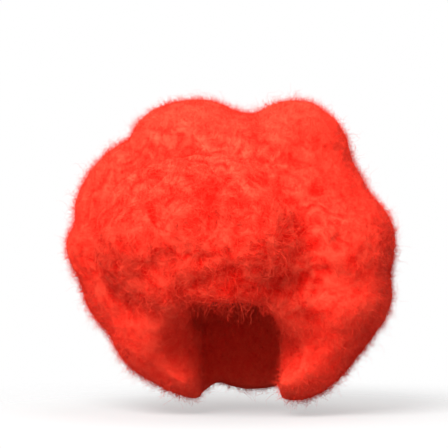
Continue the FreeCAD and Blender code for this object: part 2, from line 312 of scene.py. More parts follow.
def hair_ramp(graph, tone):
    """The hair's colour for a tone, from deep red, which is also the painted shade between the tufts, to a
    light colour, which is also the painted light on the tufts.
    """
    hair = bpy.context.scene.wig_hair
    ramp = graph.add("ShaderNodeValToRGB", {"Fac": tone})
    elements = ramp.color_ramp.elements
    elements[0].position = 0.3
    elements[0].color = (*hair.deep_and_shade_colour, 1)
    elements[1].position = 0.82
    elements[1].color = (*hair.light_and_highlight_colour, 1)
    middle = elements.new(0.52)
    middle.color = (*hair.colour, 1)
    return ramp.outputs["Color"]


def hair_material(name, crimp):
    """A dull synthetic fibre whose colour follows the teased relief, as painted shade in the hollows and
    painted light on the tufts.
    """
    material, graph, shader = new_material(name)
    place = graph.add("ShaderNodeTexCoord").outputs["Object"]
    relief_shade = graph.add("ShaderNodeAttribute", attribute_name="relief_shade").outputs["Fac"]
    tone = graph.add("ShaderNodeGroup", node_tree=hair_tone_group())
    graph.join(place, tone.inputs["Vector"])
    graph.join(relief_shade, tone.inputs["Relief shade"])
    lively = graph.add("ShaderNodeAttribute", attribute_name="liveliness").outputs["Fac"]
    graph.join(lively, tone.inputs["Liveliness"])
    tone.inputs["Crimp"].default_value = crimp
    set_finish(shader, Roughness=0.7, Specular_IOR_Level=0.04, Sheen_Weight=0.03, Sheen_Roughness=0.55)
    shader.inputs["Sheen Tint"].default_value = (1.0, 0.4, 0.25, 1.0)
    return material, graph, shader, place, tone.outputs["Tone"]


def hair_mass_material():
    """The dense hair under the loose fibres, with a crimped surface."""
    material, graph, shader, place, tone = hair_material("hair_mass", 0.3)
    graph.join(hair_ramp(graph, tone), shader.inputs["Base Color"])
    crimp = graph.add("ShaderNodeTexNoise", {
        "Vector": place, "Scale": 700.0, "Detail": 4.0, "Distortion": 1.2})
    bump = graph.add("ShaderNodeBump", {
        "Strength": 0.6, "Distance": 1.5 * MM, "Height": crimp.outputs["Fac"]})
    graph.join(bump.outputs["Normal"], shader.inputs["Normal"])
    return material


def hair_fibre_material():
    """The loose fibres, each with a tone of its own."""
    material, graph, shader, _, tone = hair_material("hair_fibre", 0.1)
    strand = graph.add("ShaderNodeAttribute", attribute_name="fibre_tone").outputs["Fac"]
    tone = graph.maths("MULTIPLY_ADD", strand, 0.42, tone)
    graph.join(hair_ramp(graph, graph.maths("SUBTRACT", tone, 0.12)), shader.inputs["Base Color"])
    return material


def weave_group():
    """Node group: crossing threads in three directions, as a height and a mask of the gaps."""
    tree, graph = new_group(
        "Weave", "ShaderNodeTree",
        (("Vector", "Vector"), ("Pitch", "Float")), (("Height", "Float"), ("Gap", "Float")))
    if graph is None:
        return tree
    entry = graph.add("NodeGroupInput").outputs
    turns = graph.maths("DIVIDE", 2 * math.pi, entry["Pitch"])
    scaled = graph.vector("SCALE", entry["Vector"], scale=turns)
    axes = graph.add("ShaderNodeSeparateXYZ", {"Vector": scaled}).outputs
    waves = [graph.maths("SINE", axis) for axis in axes]
    height = graph.maths("MULTIPLY", waves[0], waves[1])
    height = graph.maths("MULTIPLY_ADD", waves[1], waves[2], height)
    height = graph.maths("MULTIPLY_ADD", waves[2], waves[0], height)
    height = graph.maths("MULTIPLY_ADD", height, 0.33, 0.5)
    gap = graph.add("ShaderNodeMapRange", {
        "Value": height, "From Min": 0.2, "From Max": 0.5, "To Min": 1.0, "To Max": 0.0}).outputs[0]
    graph.add("NodeGroupOutput", {"Height": height, "Gap": gap})
    return tree


def fabric_material(name, colour, pitch, depth, ribs=0.0):
    """A woven cap fabric: threads at a pitch, gaps darker than the threads, and ribs for an elastic."""
    material, graph, shader = new_material(name)
    place = graph.add("ShaderNodeTexCoord").outputs["Object"]
    weave = graph.add("ShaderNodeGroup", node_tree=weave_group())
    graph.join(place, weave.inputs["Vector"])
    weave.inputs["Pitch"].default_value = pitch
    fuzz = graph.add("ShaderNodeTexNoise", {"Vector": place, "Scale": 900.0, "Detail": 2.0}).outputs["Fac"]
    shade = graph.maths("MULTIPLY_ADD", weave.outputs["Gap"], -0.55, graph.maths("ADD", fuzz, 0.6))
    tint = graph.vector("SCALE", (*colour,), scale=shade)
    graph.join(tint, shader.inputs["Base Color"])
    height = weave.outputs["Height"]
    if ribs:
        upright = graph.add("ShaderNodeSeparateXYZ", {"Vector": place}).outputs["Z"]
        rib = graph.maths("SINE", graph.maths("MULTIPLY", upright, 2 * math.pi / ribs))
        height = graph.maths("MULTIPLY_ADD", rib, 0.8, height)
    bump = graph.add("ShaderNodeBump", {"Strength": 0.8, "Distance": depth, "Height": height})
    graph.join(bump.outputs["Normal"], shader.inputs["Normal"])
    set_finish(shader, Roughness=0.82, Specular_IOR_Level=0.3, Sheen_Weight=0.3, Sheen_Roughness=0.5)
    return material


def thread_material(name, colour):
    """A twisted thread, its plies showing as fine diagonal bands."""
    material, graph, shader = new_material(name)
    place = graph.add("ShaderNodeTexCoord").outputs["Object"]
    plies = graph.add("ShaderNodeTexWave", {
        "Vector": place, "Scale": 700.0, "Distortion": 1.5}, bands_direction="DIAGONAL").outputs["Fac"]
    tint = graph.vector("SCALE", (*colour,), scale=graph.maths("MULTIPLY_ADD", plies, 0.7, 0.7))
    graph.join(tint, shader.inputs["Base Color"])
    bump = graph.add("ShaderNodeBump", {"Strength": 0.5, "Distance": 0.15 * MM, "Height": plies})
    graph.join(bump.outputs["Normal"], shader.inputs["Normal"])
    set_finish(shader, Roughness=0.6, Sheen_Weight=0.2)
    return material


def moulded_plastic_material(name, colour):
    """A black moulded plastic with a fine spark grain and slight wear in its gloss."""
    material, graph, shader = new_material(name)
    place = graph.add("ShaderNodeTexCoord").outputs["Object"]
    grain = graph.add("ShaderNodeTexNoise", {"Vector": place, "Scale": 2600.0, "Detail": 2.0}).outputs["Fac"]
    cloud = graph.add("ShaderNodeTexNoise", {"Vector": place, "Scale": 240.0, "Detail": 3.0}).outputs["Fac"]
    tint = graph.vector("SCALE", (*colour,), scale=graph.maths("MULTIPLY_ADD", cloud, 0.8, 0.6))
    graph.join(tint, shader.inputs["Base Color"])
    graph.join(graph.maths("MULTIPLY_ADD", cloud, 0.25, 0.25), shader.inputs["Roughness"])
    bump = graph.add("ShaderNodeBump", {"Strength": 0.3, "Distance": 0.05 * MM, "Height": grain})
    graph.join(bump.outputs["Normal"], shader.inputs["Normal"])
    return material


# ---- the teased hair -----------------------------------------------------------------------------
# Each pair is where a change to the mass starts and where it is whole, along one axis.
RIM_FORWARD = (20 * MM, 50 * MM)
RIM_DOWN = (30 * MM, 60 * MM)
CALM_BACK = (0, 70 * MM)
CALM_LEFT = (90 * MM, 140 * MM)
CALM_LEFT_SHARE = 0.6
OUTSIDE_DISTANCE = (6 * MM, 30 * MM)
FRONT_FORWARD = (55 * MM, 110 * MM)
FRONT_UP = (-95 * MM, -50 * MM)
FRONT_PUSH = 20 * MM

# The hollow beside the wearer's left cheek: its middle and reach in X and Z.
CHEEK_MIDDLE = (96 * MM, -108 * MM)
CHEEK_REACH = (32 * MM, 44 * MM)
CHEEK_FORWARD = (30 * MM, 60 * MM)
CHEEK_DEPTH = 36 * MM

# The mass's lumps and tufts: where they are, their size and their depth.
RUFFLES = (
    ("outside", 70 * MM, 9 * MM),
    ("outside", 26 * MM, 3 * MM),
    ("front", 46 * MM, 16 * MM),
    ("front", 24 * MM, 5 * MM),
    ("outside", 11 * MM, 2.4 * MM),
)
MERGE_DISTANCE = 0.05 * MM
HEAD_CLEARANCE = 0.3 * MM
# How far over or under the smoothed surface the painted light on a tuft or the painted shade in a hollow is
# full.
RELIEF_REACH = 7.0 * MM


def push(piece, group, direction, depth):
    """Move a vertex group's points along an axis or their normals."""
    modifier = piece.modifiers.new("push_" + group, "DISPLACE")
    modifier.direction = direction
    modifier.strength = depth
    modifier.mid_level = 0.0
    modifier.vertex_group = group


def ruffle(piece, group, size, depth):
    """Push the surface in and out along its normals by clouds of a size."""
    name = "%s_%d" % (group, round(size / MM))
    texture = bpy.data.textures.new(name, "CLOUDS")
    texture.noise_scale = size
    modifier = piece.modifiers.new(name, "DISPLACE")
    modifier.texture = texture
    modifier.texture_coords = "LOCAL"
    modifier.strength = depth
    modifier.mid_level = 0.5
    modifier.vertex_group = group


def joined_hair_nodes(name):
    """One object holding copies of all the hair sections' solids."""
    deselect()
    copies = []
    for node in HAIR_NODES:
        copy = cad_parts[node].copy()
        copy.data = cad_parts[node].data.copy()
        copy.parent = None
        for key in list(copy.keys()):
            del copy[key]
        bpy.context.scene.collection.objects.link(copy)
        copy.select_set(True)
        copies.append(copy)
    bpy.context.view_layer.objects.active = copies[0]
    bpy.ops.object.join()
    mass = named_piece(name)
    mass.data.materials.clear()
    return mass


def wearer_distance(points):
    """How far points lie outside the cap's netting and the neck."""
    cap = (np.linalg.norm(points / np.array(NET_OUTER), axis=1) - 1.0) * np.mean(NET_OUTER)
    neck = np.linalg.norm(points[:, :2] - np.array([0.0, NECK_Y]), axis=1) - NECK_RADIUS
    return np.where(points[:, 2] < 0, np.minimum(cap, neck), cap)


def ramp(values, low, high):
    """0 at low and below, rising to 1 at high and above."""
    return np.clip((values - low) / (high - low), 0.0, 1.0)


def weigh(piece, name, weights):
    """A vertex group from an array of weights."""
    group = piece.vertex_groups.new(name=name)
    for index, value in enumerate(weights):
        group.add([index], float(value), "REPLACE")


def soften(piece, iterations, group=""):
    """Even the surface out."""
    modifier = piece.modifiers.new("soften" + group, "SMOOTH")
    modifier.factor = 0.5
    modifier.iterations = iterations
    modifier.vertex_group = group


def relief_heights(mass, iterations, reach, weights):
    """How high each point stands over the smoothed surface, from 0 in a hollow to 1 on a tuft."""
    deselect()
    calm = mass.copy()
    calm.data = mass.data.copy()
    bpy.context.scene.collection.objects.link(calm)
    soften(calm, iterations)
    apply_modifiers(calm)
    normals = np.empty(len(calm.data.vertices) * 3)
    calm.data.vertices.foreach_get("normal", normals)
    heights = ((vertex_array(mass.data) - vertex_array(calm.data)) * normals.reshape(-1, 3)).sum(axis=1)
    bpy.data.objects.remove(calm)
    return ramp(heights * weights, -reach, reach)


def remeshed_hair():
    """The hair sections as one closed, evened body, calmer at its rim, its back and its left side."""
    mass = joined_hair_nodes("teased_hair_mass")
    merge = mass.modifiers.new("merge", "WELD")
    merge.merge_threshold = MERGE_DISTANCE
    remesh = mass.modifiers.new("remesh", "REMESH")
    remesh.mode = "VOXEL"
    remesh.voxel_size = bpy.context.scene.wig_hair.voxel
    soften(mass, 34)
    apply_modifiers(mass)
    points = vertex_array(mass.data)
    weigh(mass, "rim", ramp(-points[:, 1], *RIM_FORWARD) * ramp(-points[:, 2], *RIM_DOWN))
    left = CALM_LEFT_SHARE * ramp(points[:, 0], *CALM_LEFT)
    weigh(mass, "calm", np.maximum(ramp(points[:, 1], *CALM_BACK), left))
    soften(mass, 110, "rim")
    soften(mass, 150, "calm")
    apply_modifiers(mass)
    return mass


def ruffle_mass(mass, outside, front):
    """Hollow the cheek, set the surface back, raise lumps and tufts on it, and keep it off the head."""
    points = vertex_array(mass.data)
    across = (points[:, 0] - CHEEK_MIDDLE[0]) / CHEEK_REACH[0]
    upward = (points[:, 2] - CHEEK_MIDDLE[1]) / CHEEK_REACH[1]
    cheek = np.exp(-(across ** 2 + upward ** 2)) * ramp(-points[:, 1], *CHEEK_FORWARD)
    weigh(mass, "outside", outside)
    weigh(mass, "front", outside * front)
    weigh(mass, "cheek", cheek)
    push(mass, "cheek", "Y", CHEEK_DEPTH)
    push(mass, "outside", "NORMAL", -bpy.context.scene.wig_hair.inset)
    push(mass, "front", "Y", FRONT_PUSH)
    for group, size, depth in RUFFLES:
        ruffle(mass, group, size, depth)
    head_form = ellipsoid("head_form", NET_OUTER + Vector([HEAD_CLEARANCE] * 3))
    keep_outside = mass.modifiers.new("keep_outside", "SHRINKWRAP")
    keep_outside.target = head_form
    keep_outside.wrap_method = "NEAREST_SURFACEPOINT"
    keep_outside.wrap_mode = "OUTSIDE"
    apply_modifiers(mass)
    bpy.data.objects.remove(head_form)


class WIG_OT_hair_mass(bpy.types.Operator):
    """Make the teased mass of hair: one lumpy body under all the loose fibres"""
    bl_idname = "wig.hair_mass"
    bl_label = "Hair mass"

    def execute(self, context):
        mass = remeshed_hair()
        points = vertex_array(mass.data)
        outside = ramp(wearer_distance(points), *OUTSIDE_DISTANCE)
        front = ramp(-points[:, 1], *FRONT_FORWARD) * ramp(points[:, 2], *FRONT_UP)
        ruffle_mass(mass, outside, front)
        only(mass)
        bpy.ops.object.shade_smooth()
        mark_sections(mass, outside)
        # The relief's heights, stronger on the front, become painted shade in the hollows and painted light
        # on the tufts.
        relief_shade = relief_heights(mass, 90, RELIEF_REACH, 1.0 + 1.2 * front)
        mass.data.attributes.new("relief_shade", "FLOAT", "POINT").data.foreach_set("value", relief_shade)
        mass.data.attributes.new("liveliness", "FLOAT", "POINT").data.foreach_set("value", outside * front)
        mass.data.materials.append(hair_mass_material())
        finish_piece(mass, "red_hair", *HAIR_NODES)
        return {"FINISHED"}


# Hair sections: azimuth is about Z from +X and the face is at 270, as the CAD sections are cut.
CROWN_POLAR = math.radians(48.0)
LOWER_SPLIT_Z = -64 * MM
SECTIONS = (
    ("crown_back_left", "crown", 0, 90),
    ("crown_back_right", "crown", 90, 180),
    ("crown_front_right", "crown", 180, 270),
    ("crown_front_left", "crown", 270, 360),
    ("fringe", "middle", 232, 308),
    ("temple_left", "middle", 308, 350),
    ("side_left", "middle", 350, 395),
    ("back_left", "middle", 35, 90),
    ("back_right", "middle", 90, 145),
    ("side_right", "middle", 145, 190),
    ("temple_right", "middle", 190, 232),
    ("cheek_left", "lower", 270, 350),
    ("shoulder_left", "lower", 350, 415),
    ("nape", "lower", 55, 125),
    ("shoulder_right", "lower", 125, 190),
    ("cheek_right", "lower", 190, 270),
)
SECTION_NAMES = [section[0] for section in SECTIONS]

# Fibres grow away from the head, all over beside the face and under the cap's edge, and less inside.
ROOT_DISTANCE = 9 * MM
BESIDE_FACE = (-35 * MM, -60 * MM)
UNDER_CAP_Z = -90 * MM
INNER_GROWTH = 0.35
SWIRL_FORWARD = (100 * MM, 150 * MM)
SWIRL_Z = -70 * MM
LOCK_Y = -70 * MM
LOCK_Z = -58 * MM
LOCK_REACH = 18 * MM
DOWNWARD = -0.1


def mark_sections(mass, outside):
    """Face attributes: a face's hair section, and how densely fibres, swirls and locks grow on it."""
    mesh = mass.data
    centres = np.empty(len(mesh.polygons) * 3)
    mesh.polygons.foreach_get("center", centres)
    centres = centres.reshape(-1, 3)
    normals = np.empty(len(mesh.polygons) * 3)
    mesh.polygons.foreach_get("normal", normals)
    corner = np.empty(len(mesh.polygons), dtype=np.int32)
    mesh.polygons.foreach_get("loop_start", corner)
    vertex = np.empty(len(mesh.loops), dtype=np.int32)
    mesh.loops.foreach_get("vertex_index", vertex)
    azimuth = np.degrees(np.arctan2(centres[:, 1], centres[:, 0])) % 360
    polar = np.arctan2(np.hypot(centres[:, 0], centres[:, 1]), centres[:, 2])
    zones = {
        "crown": polar < CROWN_POLAR,
        "middle": (polar >= CROWN_POLAR) & (centres[:, 2] >= LOWER_SPLIT_Z),
        "lower": centres[:, 2] < LOWER_SPLIT_Z,
    }
    section = np.zeros(len(centres), dtype=np.int32)
    for number, (_, zone, start, end) in enumerate(SECTIONS):
        inside = ((azimuth - start) % 360) < (end - start)
        section[zones[zone] & inside] = number
    beside_face = (centres[:, 1] < BESIDE_FACE[0]) & (centres[:, 2] < BESIDE_FACE[1])
    open_to_view = (wearer_distance(centres) > ROOT_DISTANCE) | beside_face | (centres[:, 2] < UNDER_CAP_Z)
    growth = np.where(open_to_view, INNER_GROWTH + (1 - INNER_GROWTH) * outside[vertex[corner]], 0.0)
    front = ramp(-centres[:, 1], *SWIRL_FORWARD) * (centres[:, 2] > SWIRL_Z)
    at_edge = (centres[:, 1] < LOCK_Y) & (np.abs(centres[:, 2] - LOCK_Z) < LOCK_REACH)
    hanging = at_edge & (normals.reshape(-1, 3)[:, 2] < DOWNWARD)
    mesh.attributes.new("section", "INT", "FACE").data.foreach_set("value", section)
    mesh.attributes.new("growth", "FLOAT", "FACE").data.foreach_set("value", growth)
    mesh.attributes.new("front_growth", "FLOAT", "FACE").data.foreach_set("value", front)
    mesh.attributes.new("lock_growth", "FLOAT", "FACE").data.foreach_set("value", hanging.astype(float))


def named(graph, name, kind):
    """The value of a named attribute."""
    return graph.add("GeometryNodeInputNamedAttribute", {"Name": name}, data_type=kind).outputs[0]


def stored(graph, geometry, name, kind, domain, value):
    """The geometry with a value kept on it under a name."""
    return graph.add("GeometryNodeStoreNamedAttribute", {
        "Geometry": geometry, "Name": name, "Value": value}, data_type=kind, domain=domain).outputs[0]


def random_number(graph, low, high, seed):
    """A random number for each point."""
    return graph.add("FunctionNodeRandomValue", {
        2: low, 3: high, "Seed": seed}, data_type="FLOAT").outputs[1]


def random_direction(graph, seed):
    """A random vector for each point."""
    return graph.add("FunctionNodeRandomValue", {
        0: (-1, -1, -1), 1: (1, 1, 1), "Seed": seed}, data_type="FLOAT_VECTOR").outputs[0]


def scattered_roots(graph, entry):
    """Points over one section, more of them where the hair grows densely."""
    match = graph.add("FunctionNodeCompare", {2: named(graph, "section", "INT"), 3: entry["Section"]},
                      data_type="INT", operation="EQUAL")
    density = graph.maths("MULTIPLY", named(graph, entry["Growth"], "FLOAT"), entry["Density"])
    return graph.add("GeometryNodeDistributePointsOnFaces", {
        "Mesh": entry["Geometry"], "Selection": match.outputs[0], "Density": density,
        "Seed": entry["Seed"]}).outputs


def flow_vector(graph, scale, detail=1.0, distortion=0.0):
    """A smooth random direction that neighbours share."""
    place = graph.add("GeometryNodeInputPosition").outputs[0]
    noise = graph.add("ShaderNodeTexNoise", {
        "Vector": place, "Scale": scale, "Detail": detail, "Distortion": distortion})
    centred = graph.vector("SUBTRACT", noise.outputs["Color"], (0.5, 0.5, 0.5))
    return graph.vector("SCALE", centred, scale=4.0)


FIBRE_INPUTS = (
    ("Geometry", "Geometry"), ("Section", "Int"), ("Growth", "String"), ("Density", "Float"),
    ("Length", "Float"), ("Width", "Float"), ("Lift", "Float"), ("Flow", "Float"), ("Jitter", "Float"),
    ("Fall", "Float"), ("Bend", "Float"), ("Curl", "Float"), ("Turns", "Float"), ("Points", "Int"),
    ("Tone", "Float"), ("Seed", "Int"), ("Material", "Material"),
)


def fibre_headings(graph, entry, normal):
    """The way each fibre sets out: up from the surface, along the flow, at random, and down."""
    upward = graph.vector("SCALE", normal, scale=entry["Lift"])
    flow = flow_vector(graph, 30.0, 2.0, 0.8)
    rise = graph.vector("SCALE", normal, scale=graph.vector("DOT_PRODUCT", flow, normal))
    flow = graph.vector("SCALE", graph.vector("SUBTRACT", flow, rise), scale=entry["Flow"])
    loose = graph.vector("SCALE", random_direction(graph, 11), scale=entry["Jitter"])
    fall = graph.vector("SCALE", (0.0, 0.0, -1.0), scale=entry["Fall"])
    heading = graph.vector("ADD", graph.vector("ADD", upward, flow), graph.vector("ADD", loose, fall))
    return graph.vector("NORMALIZE", heading)


def curled_offset(graph, entry, along):
    """How far a fibre's points leave its straight line: a bend that grows, and a crimped spiral."""
    side = named(graph, "sideways", "FLOAT_VECTOR")
    heading = named(graph, "heading", "FLOAT_VECTOR")
    bend = graph.vector("ADD", side, graph.vector("SCALE", flow_vector(graph, 90.0), scale=1.2))
    growing = graph.maths("MULTIPLY", graph.maths("POWER", along, 1.6), entry["Length"])
    bend = graph.vector("SCALE", bend, scale=graph.maths("MULTIPLY", growing, entry["Bend"]))
    first = graph.vector("NORMALIZE", graph.vector("CROSS_PRODUCT", heading, side))
    second = graph.vector("CROSS_PRODUCT", heading, first)
    turned = graph.maths("MULTIPLY", along, graph.maths("MULTIPLY", entry["Turns"], 2 * math.pi))
    radius = graph.maths("MULTIPLY", graph.maths("MINIMUM", graph.maths("MULTIPLY", along, 3.0), 1.0),
                         entry["Curl"])
    spiral = graph.vector(
        "ADD",
        graph.vector("SCALE", first, scale=graph.maths("MULTIPLY", graph.maths("SINE", turned), radius)),
        graph.vector("SCALE", second, scale=graph.maths("MULTIPLY", graph.maths("COSINE", turned), radius)))
    return graph.vector("ADD", bend, spiral)


# A fibre's share of its cell on the UV map, and the margin on each side of it.
CELL_FILL = 0.8
CELL_MARGIN = 0.1

# How deep a root stands in the mass, as a share of the fibre's length, and how much the tip thins.
ROOT_DEPTH = 0.12
TIP_THINNING = 0.85


def bake_cells(graph, points):
    """A place on the piece's own UV map for every fibre: one cell of a square grid each."""
    count = graph.add("GeometryNodeAttributeDomainSize", {"Geometry": points}, component="POINTCLOUD")
    grid = graph.maths("CEIL", graph.maths("SQRT", count.outputs["Point Count"]))
    cell = named(graph, "fibre_number", "INT")
    column = graph.maths("MODULO", cell, grid)
    row = graph.maths("FLOOR", graph.maths("DIVIDE", cell, grid))
    around = named(graph, "fibre_around", "FLOAT")
    along = named(graph, "fibre_along", "FLOAT")
    u = graph.maths("MULTIPLY_ADD", around, CELL_FILL, graph.maths("ADD", column, CELL_MARGIN))
    v = graph.maths("MULTIPLY_ADD", along, CELL_FILL, graph.maths("ADD", row, CELL_MARGIN))
    return graph.add("ShaderNodeCombineXYZ", {
        "X": graph.maths("DIVIDE", u, grid), "Y": graph.maths("DIVIDE", v, grid)}).outputs[0]


def fibre_tree():
    """Geometry nodes: tapered, curled loose fibres standing on one section of the hair mass."""
    tree, graph = new_group("Loose fibres", "GeometryNodeTree", FIBRE_INPUTS, (("Geometry", "Geometry"),))
    if graph is None:
        return tree
    entry = graph.add("NodeGroupInput").outputs
    roots = scattered_roots(graph, entry)
    number = graph.add("GeometryNodeInputIndex").outputs[0]
    points = stored(graph, roots["Points"], "fibre_number", "INT", "POINT", number)
    shade = graph.maths("ADD", random_number(graph, 0.0, 1.0, 5), entry["Tone"])
    points = stored(graph, points, "fibre_tone", "FLOAT", "POINT", shade)
    points = stored(graph, points, "sideways", "FLOAT_VECTOR", "POINT", random_direction(graph, 23))
    points = stored(graph, points, "heading", "FLOAT_VECTOR", "POINT",
                    fibre_headings(graph, entry, roots["Normal"]))
    turn = graph.add("FunctionNodeAlignRotationToVector", {
        "Vector": named(graph, "heading", "FLOAT_VECTOR")}, axis="Z").outputs[0]
    reach = graph.maths("MULTIPLY", entry["Length"], random_number(graph, 0.5, 1.15, 31))
    size = graph.add("ShaderNodeCombineXYZ", {"X": reach, "Y": reach, "Z": reach}).outputs[0]

    line = graph.add("GeometryNodeCurvePrimitiveLine", {
        "Start": (0, 0, -ROOT_DEPTH), "End": (0, 0, 1)}, mode="POINTS")
    line = graph.add("GeometryNodeResampleCurve", {
        "Curve": line.outputs[0], "Count": entry["Points"]}, mode="COUNT")
    placed = graph.add("GeometryNodeInstanceOnPoints", {
        "Points": points, "Instance": line.outputs[0], "Rotation": turn, "Scale": size})
    curves = graph.add("GeometryNodeRealizeInstances", {"Geometry": placed.outputs[0]}).outputs[0]
    along = graph.add("GeometryNodeSplineParameter").outputs["Factor"]
    curves = graph.add("GeometryNodeSetPosition", {
        "Geometry": curves, "Offset": curled_offset(graph, entry, along)}).outputs[0]
    curves = stored(graph, curves, "fibre_along", "FLOAT", "POINT", along)

    ring = graph.add("GeometryNodeCurvePrimitiveCircle", {
        "Resolution": 3, "Radius": 0.5}, mode="RADIUS").outputs[0]
    around = graph.add("GeometryNodeSplineParameter").outputs["Factor"]
    ring = stored(graph, ring, "fibre_around", "FLOAT", "POINT", around)
    thinning = graph.maths("MULTIPLY", graph.maths("POWER", along, 2.0), TIP_THINNING)
    taper = graph.maths("SUBTRACT", 1.0, thinning)
    thick = graph.maths("MULTIPLY", taper, entry["Width"])
    tubes = graph.add("GeometryNodeCurveToMesh", {
        "Curve": curves, "Profile Curve": ring, "Scale": thick, "Fill Caps": True}).outputs[0]
    tubes = stored(graph, tubes, "OFBake", "FLOAT2", "CORNER", bake_cells(graph, points))
    tubes = graph.add("GeometryNodeSetShadeSmooth", {"Geometry": tubes}).outputs[0]
    tubes = graph.add("GeometryNodeSetMaterial", {
        "Geometry": tubes, "Material": entry["Material"]}).outputs[0]
    graph.add("NodeGroupOutput", {"Geometry": tubes})
    return tree


def grow_fibres(name, mass, tree, settings):
    """A new piece: the loose fibres that a modifier grows on a copy of the hair mass."""
    deselect()
    piece = mass.copy()
    piece.data = mass.data.copy()
    piece.name = name
    piece.data.name = name
    bpy.context.scene.collection.objects.link(piece)
    for key in list(piece.keys()):
        del piece[key]
    piece.parent = None
    modifier = piece.modifiers.new("fibres", "NODES")
    modifier.node_group = tree
    sockets = {item.name: item.identifier for item in tree.interface.items_tree if item.in_out == "INPUT"}
    for label, value in settings.items():
        modifier[sockets[label]] = value
    only(piece)
    bpy.ops.object.modifier_apply(modifier=modifier.name)
    # The relief stays on the fibres for their painted shade and light.
    kept = ("relief_shade", "liveliness", "fibre_tone", "OFBake")
    for attribute in [item.name for item in piece.data.attributes]:
        layer = piece.data.attributes[attribute]
        if attribute not in kept and not layer.is_required and not attribute.startswith("."):
            piece.data.attributes.remove(layer)
    finish_piece(piece, "red_hair")
    return piece


def surface_area(mesh, attribute):
    """The mesh's area, weighed by a face attribute."""
    areas = np.empty(len(mesh.polygons))
    mesh.polygons.foreach_get("area", areas)
    weights = np.empty(len(mesh.polygons))
    mesh.attributes[attribute].data.foreach_get("value", weights)
    return float((areas * weights).sum())


class WIG_OT_loose_fibres(bpy.types.Operator):
    """Grow short frizz and longer curled wisps on every section of the hair, and locks under the fringe"""
    bl_idname = "wig.loose_fibres"
    bl_label = "Loose fibres"

    def execute(self, context):
        hair = context.scene.wig_hair
        mass = bpy.data.objects["teased_hair_mass"]
        tree = fibre_tree()
        material = hair_fibre_material()
        area = surface_area(mass.data, "growth")
        frizz = {
            "Growth": "growth", "Density": hair.fibre_count / area, "Length": hair.fibre_length,
            "Width": hair.fibre_width, "Lift": 0.5, "Flow": 0.9, "Jitter": 0.7, "Fall": 0.0, "Bend": 0.4,
            "Curl": 0.7 * MM, "Turns": 0.5, "Points": 3, "Tone": 0.0, "Material": material}
        wisps = {
            "Growth": "growth", "Density": hair.wisp_count / area, "Length": hair.fibre_length * 2.2,
            "Width": hair.fibre_width, "Lift": 0.24, "Flow": 1.3, "Jitter": 0.25, "Fall": 0.0,
            "Bend": 0.3, "Curl": 2.6 * MM, "Turns": 1.3, "Points": 8, "Tone": 0.1, "Material": material}
        swirls = {
            "Growth": "front_growth", "Density": hair.swirl_count / surface_area(mass.data, "front_growth"),
            "Length": hair.fibre_length * 3.4, "Width": hair.fibre_width * 2.2, "Lift": 0.18, "Flow": 1.4,
            "Jitter": 0.15, "Fall": 0.0, "Bend": 0.25, "Curl": 3.5 * MM, "Turns": 0.9, "Points": 11,
            "Tone": 0.25, "Material": material}
        locks = {
            "Growth": "lock_growth", "Density": 60000.0, "Length": hair.fibre_length * 2.6,
            "Width": hair.fibre_width, "Lift": 0.2, "Flow": 0.7, "Jitter": 0.35, "Fall": 1.0,
            "Bend": 0.3, "Curl": 2.0 * MM, "Turns": 1.6, "Points": 12, "Tone": 0.0, "Material": material}
        for number, section in enumerate(SECTION_NAMES):
            grow_fibres("frizz_" + section, mass, tree, {**frizz, "Section": number, "Seed": number})
            grow_fibres("wisps_" + section, mass, tree, {**wisps, "Section": number, "Seed": number + 50})
        for section in ("fringe", "temple_left", "temple_right"):
            chosen = {"Section": SECTION_NAMES.index(section), "Seed": 80}
            grow_fibres("swirls_" + section, mass, tree, {**swirls, **chosen})
        chosen = {"Section": SECTION_NAMES.index("fringe"), "Seed": 90}
        grow_fibres("fringe_locks", mass, tree, {**locks, **chosen})
        return {"FINISHED"}


# ---- the cap -------------------------------------------------------------------------------------
def on_head(y, z, side, offset=0.0):
    """The point on the head's form at a place in the side view, on the left (+1) or the right (-1)."""
    half = HEAD + Vector((offset, offset, offset))
    level = max(0.0, 1 - (y / half.y) ** 2 - (z / half.z) ** 2)
    return Vector((side * half.x * math.sqrt(level), y, z))


def over_head(across, lengthwise, offset=0.0):
    """The point on top of the head's form over a place in the top view."""
    half = HEAD + Vector((offset, offset, offset))
    level = max(0.0, 1 - (across / half.x) ** 2 - (lengthwise / half.y) ** 2)
    return Vector((across, lengthwise, half.z * math.sqrt(level)))


class WIG_OT_cap_net(bpy.types.Operator):
    """Knit the cap's open netting: diamond meshes over the head's form, inside the cap's edge"""
    bl_idname = "wig.cap_net"
    bl_label = "Cap net"

    def execute(self, context):
        cap = context.scene.wig_cap
        net = ellipsoid("cap_netting", NET_MIDDLE)
        knots = len(net.data.vertices)
        bpy.ops.object.mode_set(mode="EDIT")
        bpy.ops.mesh.select_all(action="SELECT")
        bpy.ops.mesh.poke()
        bpy.ops.mesh.select_mode(type="EDGE")
        bpy.ops.mesh.select_all(action="DESELECT")
        bpy.ops.object.mode_set(mode="OBJECT")
        for edge in net.data.edges:
            edge.select = edge.vertices[0] < knots and edge.vertices[1] < knots
        bpy.ops.object.mode_set(mode="EDIT")
        bpy.ops.mesh.dissolve_edges(use_verts=False)
        bpy.ops.mesh.select_mode(type="FACE")
        bpy.ops.mesh.select_all(action="DESELECT")
        bpy.ops.object.mode_set(mode="OBJECT")
        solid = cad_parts["cap_net"]
        for face in net.data.polygons:
            _, nearest, _, _ = solid.closest_point_on_mesh(face.center)
            face.select = (nearest - face.center).length > 2 * NET_THICK
        bpy.ops.object.mode_set(mode="EDIT")
        bpy.ops.mesh.delete(type="FACE")
        bpy.ops.object.mode_set(mode="OBJECT")
        strands = net.modifiers.new("strands", "WIREFRAME")
        strands.thickness = cap.net_strand
        strands.use_even_offset = False
        strands.use_boundary = True
        apply_modifiers(net)
        bpy.ops.object.shade_smooth()
        net.data.materials.append(thread_material("net_thread", cap.fabric_colour))
        finish_piece(net, "cap_netting", "cap_net")
        return {"FINISHED"}


